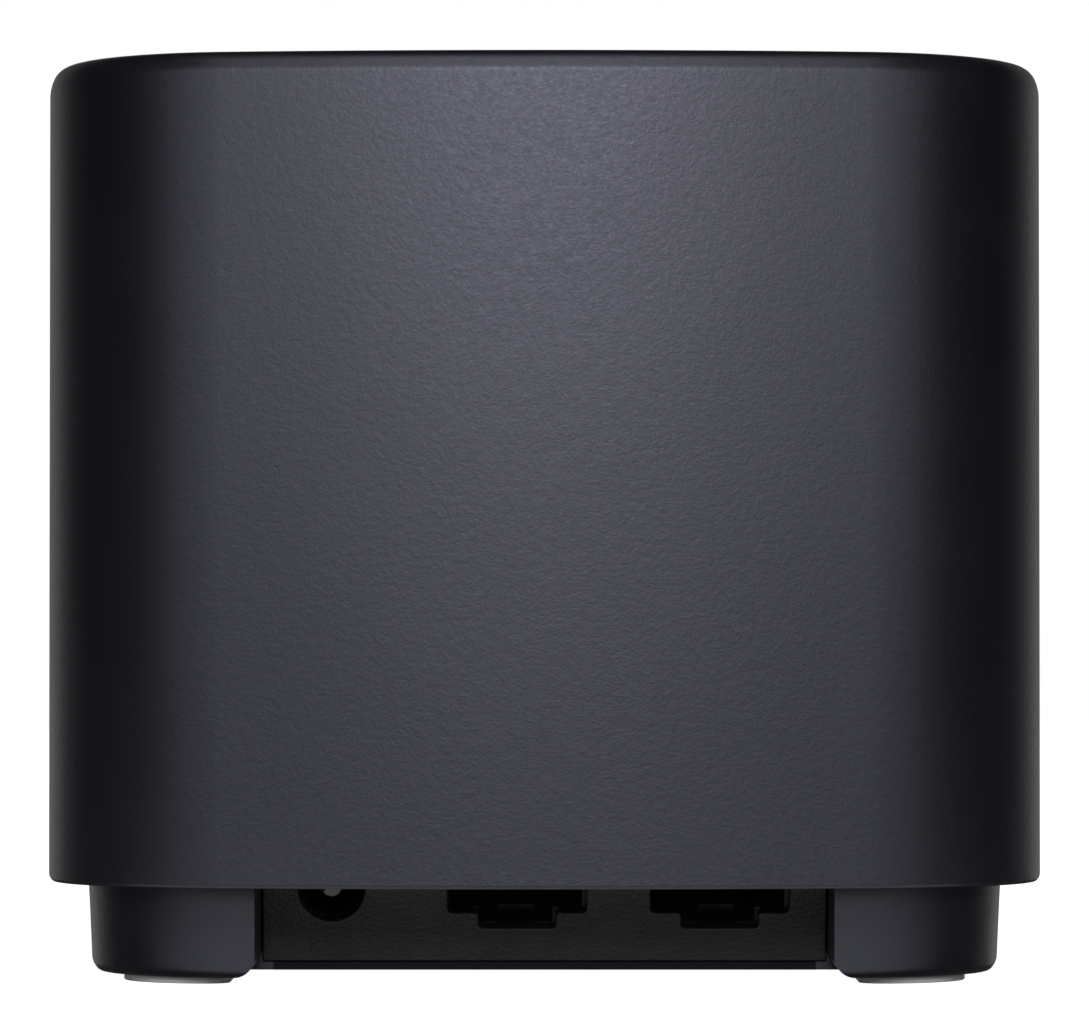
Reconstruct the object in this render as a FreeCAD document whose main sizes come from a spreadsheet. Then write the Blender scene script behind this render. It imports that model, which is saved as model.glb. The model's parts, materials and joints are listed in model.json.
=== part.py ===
"""Compact cube-shaped mesh wifi node, modelled in millimetres.

+Z is up and z = 0 is the table. The ports face +Y (rear), the status light faces -Y (front) and the
origin is under the middle of the body. Every sub-part is one labelled object, written to parts/LABEL.step.
Formulas are spreadsheet aliases and arithmetic, bound with setExpression.
"""
import FreeCAD, Part
import Sketcher
import math
import os
import re

Vector = FreeCAD.Vector

SIZES = {
    # casing
    "half_width": 45, "height": 80, "side_radius": 224, "corner_radius": 18, "shell_bottom": 8.45,
    "shell_wall": 2.2, "top_round": 1.9, "lip_round": 0.35, "inner_round": 1.2,
    # base
    "foot_height": 0.6, "skirt_inset": 3.5, "skirt_top": 8.9, "skirt_draft": 2.75, "skirt_wall": 2,
    "floor_thick": 2, "skirt_round": 0.8, "flange_inset": 2.35, "flange_thick": 2,
    "foot_inner": 27.15, "foot_size": 9.6, "foot_corner": 7.8, "foot_small_corner": 2, "foot_edge": 0.12,
    "screw_place": 30.5, "base_boss_radius": 4.4, "screw_hole_radius": 1.45, "head_hole_radius": 2.7,
    "head_hole_depth": 3.1, "screw_head_radius": 2.5, "screw_head_height": 1.8, "screw_radius": 1.25,
    "cross_length": 2.6, "cross_width": 0.7, "cross_depth": 0.9,
    "screw_length": 16, "shell_boss_radius": 3.2, "shell_boss_bottom": 11, "shell_boss_height": 13,
    "pilot_radius": 1.3, "pilot_depth": 10, "gusset_thick": 1.6, "gusset_reach": 40.8,
    # port bay and the tilted input/output frame, whose own Y points out of the panel
    "bay_half": 24.85, "bay_wall": 1.7, "bay_top": 16.4, "bay_roof": 1.6, "bay_front": 20, "bay_rear": 38.6,
    "bay_corner": 1.9, "panel_ledge": 1.3, "panel_tilt": 16, "panel_plane": 28, "port_level": 7.7,
    "panel_thick": 1.6, "panel_gap": 0.1, "panel_low": -6.6, "panel_high": 8.9, "panel_round": 0.2,
    "panel_corner": 0.4,
    # ports: the wide area network socket, the local network socket and the power socket
    "wan_place": 2.4, "lan_place": -15.4, "power_place": 18.7, "cutout_half": 6.1, "cutout_low": -2.12,
    "cutout_high": 4.9, "notch_half": 3.4, "notch_low": -3.55, "power_hole": 2.9,
    "jack_half": 8.25, "jack_low": -5, "jack_high": 6.55, "jack_face": -1.65, "jack_length": 14,
    "jack_shift": 0.18, "socket_half": 5.85, "socket_low": -2.08, "socket_height": 6.75,
    "socket_depth": 11.5, "latch_half": 3.25, "latch_low": -3.48, "step_half": 1.65, "step_low": -4.1,
    "step_depth": 5, "contact_pitch": 1.02, "contact_width": 0.35, "contact_lift": 0.75, "contact_front": 5.2,
    "contact_back": 10.6, "contact_reach": 10, "contact_drop": 3.2, "groove_width": 8.6, "groove_length": 6.4,
    "power_half": 4.5, "power_low": -4.4, "power_bore": 2.85, "power_depth": 9.5, "power_pin": 1.25,
    "power_pin_length": 10.75, "power_pin_round": 1, "leaf_thick": 0.25, "leaf_width": 1.6,
    # circuit boards
    "io_board_half": 24.2, "io_board_low": 6.6, "io_board_thick": 1.4, "io_board_front": -24.5,
    "io_post_x": 20, "io_post_y": 8.4, "io_post_radius": 2.3, "io_screw_y": -22.35,
    "transformer_length": 13, "transformer_width": 7.2, "transformer_high": 3.2, "transformer_y": -9,
    "connector_length": 18, "connector_width": 4, "connector_high": 1.5, "connector_y": -20,
    "flex_thick": 0.3, "flex_half": 8, "flex_bend": 20, "flex_drop": 1, "flex_start": -22.05, "flex_lift": 0.75,
    "flex_mouth": -5.2, "main_connector_high": 1.7,
    "board_half": 36, "board_level": 26, "board_thick": 1.6, "board_corner": 18,
    "post_x": 31, "post_y": 8, "post_radius": 2.75, "small_hole": 1.15, "board_hole": 1.35,
    "small_screw": 1.1, "small_head": 2.2, "small_head_height": 1.4, "small_screw_length": 6,
    "key_board_half": 16, "key_board_rear": 1, "key_board_front": -13.4, "key_board_level": 8,
    "key_board_thick": 1.2, "key_post_x": 13.4, "key_post_y": -11, "key_pilot_depth": 4,
    # keys on the underside
    "pair_x": -7, "reset_x": 7.5, "key_y": -5, "key_radius": 3.9, "key_hole": 4, "key_bottom": 0.8,
    "key_flange": 4.8, "key_flange_low": 2.95, "key_flange_high": 3.7, "key_stem": 1.5, "key_top": 4.5,
    "key_round": 0.3, "collar_inner": 5.1, "collar_outer": 6.2, "collar_height": 2, "pin_hole": 0.8,
    "pair_switch": 6, "pair_switch_high": 2.5, "pair_plunger": 1.7, "pair_plunger_low": 4.6,
    "reset_switch": 4.5, "reset_switch_high": 2, "reset_plunger": 1.1, "reset_plunger_low": 5.1,
    "plunger_inside": 0.7, "plunger_room": 1.4, "plunger_gap": 0.08,
    # underside
    "label_half": 19, "label_front": -36, "label_rear": -16.5, "label_recess": 0.3, "label_thick": 0.15,
    "label_gap": 0.4, "vent_length": 12, "vent_width": 2, "vent_pitch": 4.4, "vent_count": 7, "vent_y": 12,
    # status light
    "light_level": 31, "light_radius": 1.2, "light_hole": 1.3, "light_y": -34.6, "light_block": 3,
    # main board parts
    "soc_size": 15, "soc_high": 1.4, "soc_y": -8, "pad_high": 0.5, "sink_length": 44, "sink_width": 40,
    "sink_base": 2.5, "sink_y": -6, "fin_count": 9, "fin_thick": 1.2, "fin_height": 14,
    "shield_length": 36, "shield_width": 16, "shield_height": 2.4, "shield_wall": 0.3, "shield_y": 24,
    "sink_pin_x": 19, "sink_pin_front": -22, "sink_pin_rear": 10, "sink_pin_radius": 1.2,
    "pin_clearance": 0.1, "pin_head": 2.2, "pin_head_high": 1.2, "pin_barb": 1.7, "pin_barb_high": 1.4,
    "pin_below": 1.6, "sink_seat": 2.7, "sink_room": 2.6,
    "memory_x": -14, "memory_length": 10, "memory_width": 8, "memory_high": 1.1,
    "flash_x": 13.5, "flash_length": 8, "flash_width": 6, "flash_high": 1,
    "radio_size": 7, "radio_high": 0.9, "can_x": 25.6, "can_y": -24.4, "can_radius": 3.15, "can_high": 7.7,
    "coil_x": 25.5, "coil_y": 24, "coil_size": 7, "coil_high": 3.5, "coil_corner": 1.6,
    "led_length": 1.6, "led_width": 0.8, "led_high": 0.6,
    # antennas
    "leg_x": 32, "leg_y": 18, "leg_size": 5, "tray_level": 50, "tray_thick": 2, "tray_half": 37.5,
    "tray_half_width": 22, "tray_open": 31, "tray_open_width": 14, "antenna_x": 35, "antenna_thick": 0.8,
    "antenna_half": 18, "antenna_high": 22, "rail_thick": 1.1, "rail_height": 4, "cable_radius": 0.6,
    "plug_x": 25, "plug_y": 4, "plug_radius": 1.3, "plug_high": 1.2,
}

doc = FreeCAD.newDocument("mesh_wifi_node")
sheet = doc.addObject("Spreadsheet::Sheet", "Sizes")
for row, (alias, number) in enumerate(SIZES.items(), 1):
    sheet.set("A%d" % row, alias)
    sheet.set("B%d" % row, str(number))
    sheet.setAlias("B%d" % row, alias)
doc.recompute()

ALIAS = re.compile(r"[a-z][a-z_]+")
subparts = []


# ---------------------------------------------------------------- helpers

def in_sheet(formula):
    """The formula with every alias written as a reference to the spreadsheet."""
    def sheet_name(word):
        return "Sizes." + word.group() if word.group() in SIZES else word.group()
    return ALIAS.sub(sheet_name, str(formula))


def bind(item, prop, formula):
    item.setExpression(prop, in_sheet(formula))


def size(formula):
    """What the formula is worth now, in millimetres or degrees."""
    return float(sheet.evalExpression(str(formula)))


def subpart(item, label):
    """Names one finished sub-part; its label is its file name."""
    item.Label = label
    subparts.append(item)
    return item


def tilted(item):
    """Moves an item from the panel's own frame, where +Y points out of the panel, into the body's frame."""
    base = Vector(0, size("panel_plane"), size("port_level"))
    item.Placement = FreeCAD.Placement(base, FreeCAD.Rotation(Vector(1, 0, 0), -size("panel_tilt")))
    return item


def new_body(name):
    return doc.addObject("PartDesign::Body", name)


def new_sketch(body, name, plane, level="0"):
    sketch = body.newObject("Sketcher::SketchObject", name)
    origin_plane = [item for item in body.Origin.OriginFeatures if item.Role == plane][0]
    sketch.AttachmentSupport = [(origin_plane, "")]
    sketch.MapMode = "FlatFace"
    bind(sketch, "AttachmentOffset.Base.z", level)
    return sketch


def fix(sketch, kind, name, formula, *places):
    """Adds one dimension to a sketch and binds it."""
    number = sketch.addConstraint(Sketcher.Constraint(kind, *places, size(formula)))
    sketch.renameConstraint(number, name)
    bind(sketch, "Constraints." + name, formula)


def draw_polygon(sketch, points, tag=""):
    """A closed polygon through points, each an (x formula, y formula) pair."""
    spots = [Vector(size(across), size(up), 0) for across, up in points]
    count = len(points)
    lines = [sketch.addGeometry(Part.LineSegment(spots[i], spots[(i + 1) % count]), False)
             for i in range(count)]
    for i in range(count):
        sketch.addConstraint(Sketcher.Constraint("Coincident", lines[i], 2, lines[(i + 1) % count], 1))
    for i, (across, up) in enumerate(points):
        fix(sketch, "DistanceX", "%sacross_%d" % (tag, i), across, -1, 1, lines[i], 1)
        fix(sketch, "DistanceY", "%sup_%d" % (tag, i), up, -1, 1, lines[i], 1)


def draw_rectangle(sketch, left, right, low, high, tag=""):
    draw_polygon(sketch, [(left, low), (right, low), (right, high), (left, high)], tag)


def draw_circle(sketch, across, up, radius, tag=""):
    spot = Vector(size(across), size(up), 0)
    ring = sketch.addGeometry(Part.Circle(spot, Vector(0, 0, 1), size(radius)), False)
    fix(sketch, "DistanceX", tag + "across", across, -1, 1, ring, 3)
    fix(sketch, "DistanceY", tag + "up", up, -1, 1, ring, 3)
    fix(sketch, "Radius", tag + "radius", radius, ring)


def draw_flare(sketch, side):
    """The material outside the rounded inner bottom corner of one rear leg, seen from the rear."""
    wall = "%d * bay_half" % side
    outer = "%d * (bay_half + bay_corner)" % side
    top = "foot_height + bay_corner"
    centre = Vector(size(outer), size(top), 0)
    quarter = {1: (math.pi, 1.5 * math.pi), -1: (1.5 * math.pi, 2 * math.pi)}[side]
    circle = Part.Circle(centre, Vector(0, 0, 1), size("bay_corner"))
    arc = sketch.addGeometry(Part.ArcOfCircle(circle, *quarter), False)
    wall_end, floor_end = {1: (1, 2), -1: (2, 1)}[side]
    spots = [Vector(size(outer), size("foot_height"), 0), Vector(size(outer), 0, 0),
             Vector(size(wall + " - %d" % side), 0, 0), Vector(size(wall + " - %d" % side), size(top), 0),
             Vector(size(wall), size(top), 0)]
    lines = [sketch.addGeometry(Part.LineSegment(first, last), False)
             for first, last in zip(spots, spots[1:])]
    sketch.addConstraint(Sketcher.Constraint("Coincident", arc, floor_end, lines[0], 1))
    for first, last in zip(lines, lines[1:]):
        sketch.addConstraint(Sketcher.Constraint("Coincident", first, 2, last, 1))
    sketch.addConstraint(Sketcher.Constraint("Coincident", lines[3], 2, arc, wall_end))
    for line, kind in zip(lines, ("Vertical", "Horizontal", "Vertical", "Horizontal")):
        sketch.addConstraint(Sketcher.Constraint(kind, line))
    fix(sketch, "Radius", "corner", "bay_corner", arc)
    fix(sketch, "DistanceX", "across", outer, -1, 1, arc, 3)
    fix(sketch, "DistanceY", "up", top, -1, 1, arc, 3)
    fix(sketch, "DistanceX", "inner", wall + " - %d" % side, -1, 1, lines[2], 1)
    sketch.addConstraint(Sketcher.Constraint("PointOnObject", lines[1], 1, -1))
    sketch.addConstraint(Sketcher.Constraint("Horizontal", arc, 3, arc, wall_end))
    sketch.addConstraint(Sketcher.Constraint("Vertical", arc, 3, arc, floor_end))


def draw_outline(sketch, inset):
    """The plan of the casing, moved in by inset: four shallow side arcs joined by tangent corner arcs."""
    centre = size("side_radius - half_width")
    side = size("side_radius - (%s)" % inset)
    corner = size("corner_radius - (%s)" % inset)
    gap = side - corner
    corner_place = (-centre + math.sqrt(2 * gap ** 2 - centre ** 2)) / 2
    turn = math.atan2(corner_place, corner_place + centre)
    up = Vector(0, 0, 1)
    sides = []
    corners = []
    for i in range(4):
        facing = i * math.pi / 2
        spot = Vector(-centre * math.cos(facing), -centre * math.sin(facing), 0)
        arc = Part.ArcOfCircle(Part.Circle(spot, up, side), facing - turn, facing + turn)
        sides.append(sketch.addGeometry(arc, False))
        diagonal = facing + math.pi / 4
        spot = Vector(math.cos(diagonal), math.sin(diagonal), 0) * corner_place * math.sqrt(2)
        arc = Part.ArcOfCircle(Part.Circle(spot, up, corner), facing + turn, facing + math.pi / 2 - turn)
        corners.append(sketch.addGeometry(arc, False))
    for i in range(4):
        sketch.addConstraint(Sketcher.Constraint("Tangent", sides[i], 2, corners[i], 1))
        sketch.addConstraint(Sketcher.Constraint("Tangent", corners[i], 2, sides[(i + 1) % 4], 1))
    for i in range(4):
        sign = "-1" if i < 2 else "1"
        axis, distance = ((-1, "DistanceX"), (-2, "DistanceY"))[i % 2]
        sketch.addConstraint(Sketcher.Constraint("PointOnObject", sides[i], 3, axis))
        fix(sketch, distance, "centre_%d" % i, sign + " * (side_radius - half_width)", -1, 1, sides[i], 3)
    fix(sketch, "Radius", "side", "side_radius - (%s)" % inset, sides[0])
    fix(sketch, "Radius", "corner", "corner_radius - (%s)" % inset, corners[0])
    for i in (1, 2, 3):
        sketch.addConstraint(Sketcher.Constraint("Equal", sides[0], sides[i]))
        sketch.addConstraint(Sketcher.Constraint("Equal", corners[0], corners[i]))


def extrude(body, kind, sketch, length, reverse=False, midplane=False, draft=None):
    """A Pad or a Pocket of one sketch. A Pocket must take material away and a Pad must add some."""
    doc.recompute()
    before = body.Shape.Volume if body.Tip else 0
    feature = body.newObject("PartDesign::" + kind, sketch.Name + "_" + kind.lower())
    feature.Profile = sketch
    feature.Reversed = reverse
    feature.Midplane = midplane
    bind(feature, "Length", length)
    if draft:
        bind(feature, "TaperAngle", draft)
    doc.recompute()
    gained = body.Shape.Volume - before
    if (gained > 0) != (kind == "Pad") or abs(gained) < 1e-6:
        raise RuntimeError("%s changed the volume by %g" % (feature.Name, gained))
    return feature


def round_edges(body, name, radius, chosen, kind="Fillet"):
    """Rounds or bevels every edge of the body for which chosen(edge) holds."""
    base = body.Tip
    picked = ["Edge%d" % n for n, edge in enumerate(base.Shape.Edges, 1) if chosen(edge)]
    feature = body.newObject("PartDesign::" + kind, name)
    feature.Base = (base, picked)
    bind(feature, {"Fillet": "Radius", "Chamfer": "Size"}[kind], radius)
    doc.recompute()
    if not picked or "Invalid" in feature.State or not feature.Shape.isValid():
        raise RuntimeError("%s failed on %d edges" % (feature.Name, len(picked)))
    return feature


def at_level(level):
    """Picks the edges that lie at one height."""
    return lambda edge: all(abs(corner.Z - size(level)) < 1e-4 for corner in edge.Vertexes)


def upright(edge):
    """Picks the straight vertical edges."""
    first, last = edge.Vertexes[0], edge.Vertexes[-1]
    return math.hypot(first.X - last.X, first.Y - last.Y) < 1e-4 and abs(first.Z - last.Z) > 0.1


def repeat_round(body, name, features, count=4):
    """Repeats features about the Z axis and makes the pattern the body's tip."""
    pattern = body.newObject("PartDesign::PolarPattern", name)
    pattern.Originals = features
    z_axis = [item for item in body.Origin.OriginFeatures if item.Role == "Z_Axis"][0]
    pattern.Axis = (z_axis, [""])
    pattern.Angle = 360
    pattern.Occurrences = count
    body.Tip = pattern
    doc.recompute()


def repeat_along(body, name, features, role, spacing, count):
    """Repeats features in a row, both ways from the middle one taken together."""
    pattern = body.newObject("PartDesign::LinearPattern", name)
    pattern.Originals = features
    axis = [item for item in body.Origin.OriginFeatures if item.Role == role][0]
    pattern.Direction = (axis, [""])
    bind(pattern, "Length", "%s * (%s - 1)" % (spacing, count))
    pattern.Occurrences = int(size(count))
    body.Tip = pattern
    doc.recompute()


def block(name, x, y, low, length, width, height):
    """A Part::Box centred in plan on x, y and standing on low."""
    item = doc.addObject("Part::Box", name)
    bind(item, "Length", length)
    bind(item, "Width", width)
    bind(item, "Height", height)
    bind(item, "Placement.Base.x", "(%s) - (%s) / 2" % (x, length))
    bind(item, "Placement.Base.y", "(%s) - (%s) / 2" % (y, width))
    bind(item, "Placement.Base.z", low)
    return item


TURNS = {
    "Z": FreeCAD.Rotation(),
    "-Y": FreeCAD.Rotation(Vector(1, 0, 0), 90),
    "Y": FreeCAD.Rotation(Vector(1, 0, 0), -90),
}


def rod(name, x, y, z, radius, length, axis="Z"):
    """A Part::Cylinder that starts at x, y, z and runs along axis."""
    item = doc.addObject("Part::Cylinder", name)
    item.Placement = FreeCAD.Placement(Vector(), TURNS[axis])
    bind(item, "Radius", radius)
    bind(item, "Height", length)
    bind(item, "Placement.Base.x", x)
    bind(item, "Placement.Base.y", y)
    bind(item, "Placement.Base.z", z)
    return item


def join(name, *items):
    item = doc.addObject("Part::MultiFuse", name)
    item.Shapes = list(items)
    return item


def group(name, *items):
    """Keeps separate solids together in one node."""
    item = doc.addObject("Part::Compound", name)
    item.Links = list(items)
    return item


def carve(name, base, *tools):
    item = doc.addObject("Part::Cut", name)
    item.Base = base
    item.Tool = tools[0] if len(tools) == 1 else join(name + "_tools", *tools)
    return item


def rounded(name, base, radius, chosen):
    """A Part::Fillet on the chosen edges."""
    doc.recompute()
    item = doc.addObject("Part::Fillet", name)
    item.Base = base
    amount = size(radius)
    item.Edges = [(n, amount, amount) for n, edge in enumerate(base.Shape.Edges, 1) if chosen(edge)]
    return item


# ---------------------------------------------------------------- casing

def make_top_shell():
    body = new_body("shell_body")
    outline = new_sketch(body, "shell_outline", "XY_Plane", "shell_bottom")
    draw_outline(outline, "0")
    extrude(body, "Pad", outline, "height - shell_bottom")
    round_edges(body, "shell_top_round", "top_round", at_level("height"))
    round_edges(body, "shell_lip_round", "lip_round", at_level("shell_bottom"))
    inside = new_sketch(body, "shell_inside", "XY_Plane", "shell_bottom")
    draw_outline(inside, "shell_wall")
    extrude(body, "Pocket", inside, "height - shell_bottom - shell_wall", reverse=True)
    round_edges(body, "shell_inner_round", "inner_round", at_level("height - shell_wall"))
    boss = new_sketch(body, "shell_boss", "XY_Plane", "shell_boss_bottom")
    draw_circle(boss, "screw_place", "screw_place", "shell_boss_radius")
    across = new_sketch(body, "gusset_across", "XY_Plane", "shell_boss_bottom")
    draw_rectangle(across, "screw_place", "gusset_reach", "screw_place - gusset_thick / 2",
                   "screw_place + gusset_thick / 2")
    along = new_sketch(body, "gusset_along", "XY_Plane", "shell_boss_bottom")
    draw_rectangle(along, "screw_place - gusset_thick / 2", "screw_place + gusset_thick / 2",
                   "screw_place", "gusset_reach")
    pads = [extrude(body, "Pad", sketch, "shell_boss_height") for sketch in (boss, across, along)]
    repeat_round(body, "shell_bosses", pads)
    pilot = new_sketch(body, "shell_pilot", "XY_Plane", "shell_boss_bottom")
    draw_circle(pilot, "screw_place", "screw_place", "pilot_radius")
    repeat_round(body, "shell_pilots", [extrude(body, "Pocket", pilot, "pilot_depth", reverse=True)])
    window = new_sketch(body, "light_window", "XZ_Plane", "half_width - 2 * shell_wall")
    draw_circle(window, "0", "light_level", "light_hole")
    extrude(body, "Pocket", window, "3 * shell_wall", reverse=True)
    return subpart(body, "top_shell")


def panel_line(level):
    """Y of the panel's outer face at one height."""
    return "panel_plane + (%s - port_level) * tan(panel_tilt * 1 deg)" % level


def make_base_housing():
    body = new_body("base_body")
    floor_top = "foot_height + floor_thick"
    outline = new_sketch(body, "skirt_outline", "XY_Plane", "skirt_top")
    draw_outline(outline, "skirt_inset")
    extrude(body, "Pad", outline, "skirt_top - foot_height", reverse=True, draft="-skirt_draft")
    round_edges(body, "skirt_edge_round", "skirt_round", at_level("foot_height"))
    flange = new_sketch(body, "flange_outline", "XY_Plane", "skirt_top")
    draw_outline(flange, "flange_inset")
    extrude(body, "Pad", flange, "flange_thick")
    cavity = new_sketch(body, "base_cavity", "XY_Plane", "skirt_top + flange_thick")
    draw_outline(cavity, "skirt_inset + skirt_wall")
    extrude(body, "Pocket", cavity, "skirt_top + flange_thick - foot_height - floor_thick")
    # The bay is a box open to the rear and below; the port panel closes its inner side.
    bay = new_sketch(body, "bay_walls", "XY_Plane", floor_top)
    draw_rectangle(bay, "-bay_half - bay_wall", "bay_half + bay_wall", "bay_front", "bay_rear")
    extrude(body, "Pad", bay, "bay_top + bay_roof - foot_height - floor_thick")
    room = new_sketch(body, "bay_room", "YZ_Plane")
    behind = panel_line("panel_ledge") + " - panel_thick - panel_gap"
    roof_front = panel_line("bay_top") + " + panel_gap"
    over_roof = "bay_top + bay_roof + 1"
    draw_polygon(room, [
        (panel_line("0"), "0"), (panel_line("panel_ledge"), "panel_ledge"), (behind, "panel_ledge"),
        (behind, floor_top), ("bay_front - 1", floor_top),
        ("bay_front - 1", over_roof), (roof_front, over_roof),
        (roof_front, "bay_top"), ("half_width + 1", "bay_top"), ("half_width + 1", "0")])
    extrude(body, "Pocket", room, "2 * bay_half", midplane=True)

    for side in (-1, 1):
        flare = new_sketch(body, "leg_flare_%d" % (side + 1), "XZ_Plane", "-half_width - 1")
        draw_flare(flare, side)
        extrude(body, "Pocket", flare, "half_width + 1 - (%s)" % panel_line("0"), reverse=True)
    # Bosses take the casing screws, posts carry the boards and the collar guides the pairing key.
    boss = new_sketch(body, "base_boss", "XY_Plane", floor_top)
    draw_circle(boss, "screw_place", "screw_place", "base_boss_radius")
    base_boss = extrude(body, "Pad", boss, "skirt_top + flange_thick - foot_height - floor_thick")
    repeat_round(body, "base_bosses", [base_boss])
    head_hole = new_sketch(body, "head_hole", "XY_Plane", "foot_height")
    draw_circle(head_hole, "screw_place", "screw_place", "head_hole_radius")
    shank_hole = new_sketch(body, "shank_hole", "XY_Plane", "foot_height")
    draw_circle(shank_hole, "screw_place", "screw_place", "screw_hole_radius")
    sink = extrude(body, "Pocket", head_hole, "head_hole_depth", reverse=True)
    shaft = extrude(body, "Pocket", shank_hole, "skirt_top + flange_thick", reverse=True)
    repeat_round(body, "screw_holes", [sink, shaft])
    posts = new_sketch(body, "board_posts", "XY_Plane", floor_top)
    pilots = new_sketch(body, "board_pilots", "XY_Plane", "board_level")
    for side in (-1, 1):
        for end in (-1, 1):
            tag = "post_%d_%d_" % (side + 1, end + 1)
            draw_circle(posts, "%d * post_x" % side, "%d * post_y" % end, "post_radius", tag)
            draw_circle(pilots, "%d * post_x" % side, "%d * post_y" % end, "small_hole", tag)
    extrude(body, "Pad", posts, "board_level - foot_height - floor_thick")
    extrude(body, "Pocket", pilots, "small_screw_length + 1")
    key_posts = new_sketch(body, "key_posts", "XY_Plane", floor_top)
    key_pilots = new_sketch(body, "key_pilots", "XY_Plane", "key_board_level")
    for side in (-1, 1):
        tag = "post_%d_" % (side + 1)
        draw_circle(key_posts, "%d * key_post_x" % side, "key_post_y", "io_post_radius", tag)
        draw_circle(key_pilots, "%d * key_post_x" % side, "key_post_y", "small_hole", tag)
    extrude(body, "Pad", key_posts, "key_board_level - foot_height - floor_thick")
    extrude(body, "Pocket", key_pilots, "key_pilot_depth")
    io_posts = new_sketch(body, "io_posts", "XY_Plane", floor_top)
    for side in (-1, 1):
        draw_circle(io_posts, "%d * io_post_x" % side, "io_post_y", "io_post_radius", "post_%d_" % (side + 1))
    extrude(body, "Pad", io_posts, "board_level - foot_height - floor_thick - 1")
    slope = new_sketch(body, "io_post_slope", "YZ_Plane")

    def under_board(across):
        run = "((%s) - panel_plane - io_board_low * sin(panel_tilt * 1 deg))" % across
        return "port_level + io_board_low * cos(panel_tilt * 1 deg) - %s * tan(panel_tilt * 1 deg)" % run
    front, rear = "io_post_y - 3", "io_post_y + 3"
    draw_polygon(slope, [(front, under_board(front)), (rear, under_board(rear)),
                         (rear, "board_level"), (front, "board_level")])
    extrude(body, "Pocket", slope, "2 * bay_half", midplane=True)
    collar = new_sketch(body, "key_collar", "XY_Plane", floor_top)
    draw_circle(collar, "pair_x", "key_y", "collar_outer", "outer_")
    draw_circle(collar, "pair_x", "key_y", "collar_inner", "inner_")
    extrude(body, "Pad", collar, "collar_height")
    holes = new_sketch(body, "key_holes", "XY_Plane", "foot_height")
    draw_circle(holes, "pair_x", "key_y", "key_hole", "pair_")
    draw_circle(holes, "reset_x", "key_y", "pin_hole", "reset_")
    extrude(body, "Pocket", holes, "floor_thick", reverse=True)
    label = new_sketch(body, "label_recess_outline", "XY_Plane", "foot_height")
    draw_rectangle(label, "-label_half", "label_half", "label_front", "label_rear")
    extrude(body, "Pocket", label, "label_recess", reverse=True)
    vent = new_sketch(body, "vent_slot", "XY_Plane", "foot_height")
    first = "-vent_pitch * (vent_count - 1) / 2"
    draw_rectangle(vent, first + " - vent_width / 2", first + " + vent_width / 2", "vent_y - vent_length / 2",
                   "vent_y + vent_length / 2")
    slot = extrude(body, "Pocket", vent, "floor_thick", reverse=True)
    repeat_along(body, "vent_slots", [slot], "X_Axis", "vent_pitch", "vent_count")
    return subpart(body, "base_housing")


def make_foot_pads():
    """Four rubber pads, the same piece turned a quarter each time. They hide the casing screws."""
    for number, place in enumerate(("rear_left", "rear_right", "front_right", "front_left")):
        body = new_body("foot_body_%d" % number)
        plan = new_sketch(body, "foot_plan_%d" % number, "XY_Plane")
        outer = "foot_inner + foot_size"
        draw_rectangle(plan, "foot_inner", outer, "foot_inner", outer)
        extrude(body, "Pad", plan, "foot_height")
        near, far = size("foot_inner"), size(outer)

        def at_corners(*corners):
            return lambda edge: upright(edge) and any(
                math.hypot(edge.Vertexes[0].X - x, edge.Vertexes[0].Y - y) < 0.1 for x, y in corners)
        round_edges(body, "foot_outer_round_%d" % number, "foot_corner", at_corners((far, far)))
        round_edges(body, "foot_corner_round_%d" % number, "foot_small_corner",
                    at_corners((near, near), (near, far), (far, near)))
        round_edges(body, "foot_edge_round_%d" % number, "foot_edge", at_level("0"))
        body.Placement = FreeCAD.Placement(Vector(), FreeCAD.Rotation(Vector(0, 0, 1), 90 * number))
        subpart(body, "foot_pad_" + place)


def make_casing_screws():
    screws = []
    head_low = "foot_height + head_hole_depth - screw_head_height"
    for number in range(4):
        x = "screw_place * %d" % (1, -1, -1, 1)[number]
        y = "screw_place * %d" % (1, 1, -1, -1)[number]
        head = rod("screw_head_%d" % number, x, y, head_low, "screw_head_radius", "screw_head_height")
        shank = rod("screw_shank_%d" % number, x, y, head_low, "screw_radius", "screw_length")
        blank = join("screw_blank_%d" % number, head, shank)
        slot = block("screw_slot_%d" % number, x, y, head_low, "cross_length", "cross_width", "cross_depth")
        cross = block("screw_cross_%d" % number, x, y, head_low, "cross_width", "cross_length", "cross_depth")
        screws.append(carve("casing_screw_%d" % number, blank, slot, cross))
    subpart(group("casing_screw_group", *screws), "casing_screws")


def make_label():
    low = "foot_height + label_recess - label_thick"
    length = "2 * (label_half - label_gap)"
    width = "label_rear - label_front - 2 * label_gap"
    sticker = block("label_block", "0", "(label_front + label_rear) / 2", low, length, width, "label_thick")
    subpart(rounded("label_rounded", sticker, "1.5", upright), "rating_label")


# ---------------------------------------------------------------- ports, in the panel's own frame

PORTS = (("wan", "wan_place"), ("lan", "lan_place"))
CONTACT_ROOF = "socket_low + socket_height"


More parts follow.
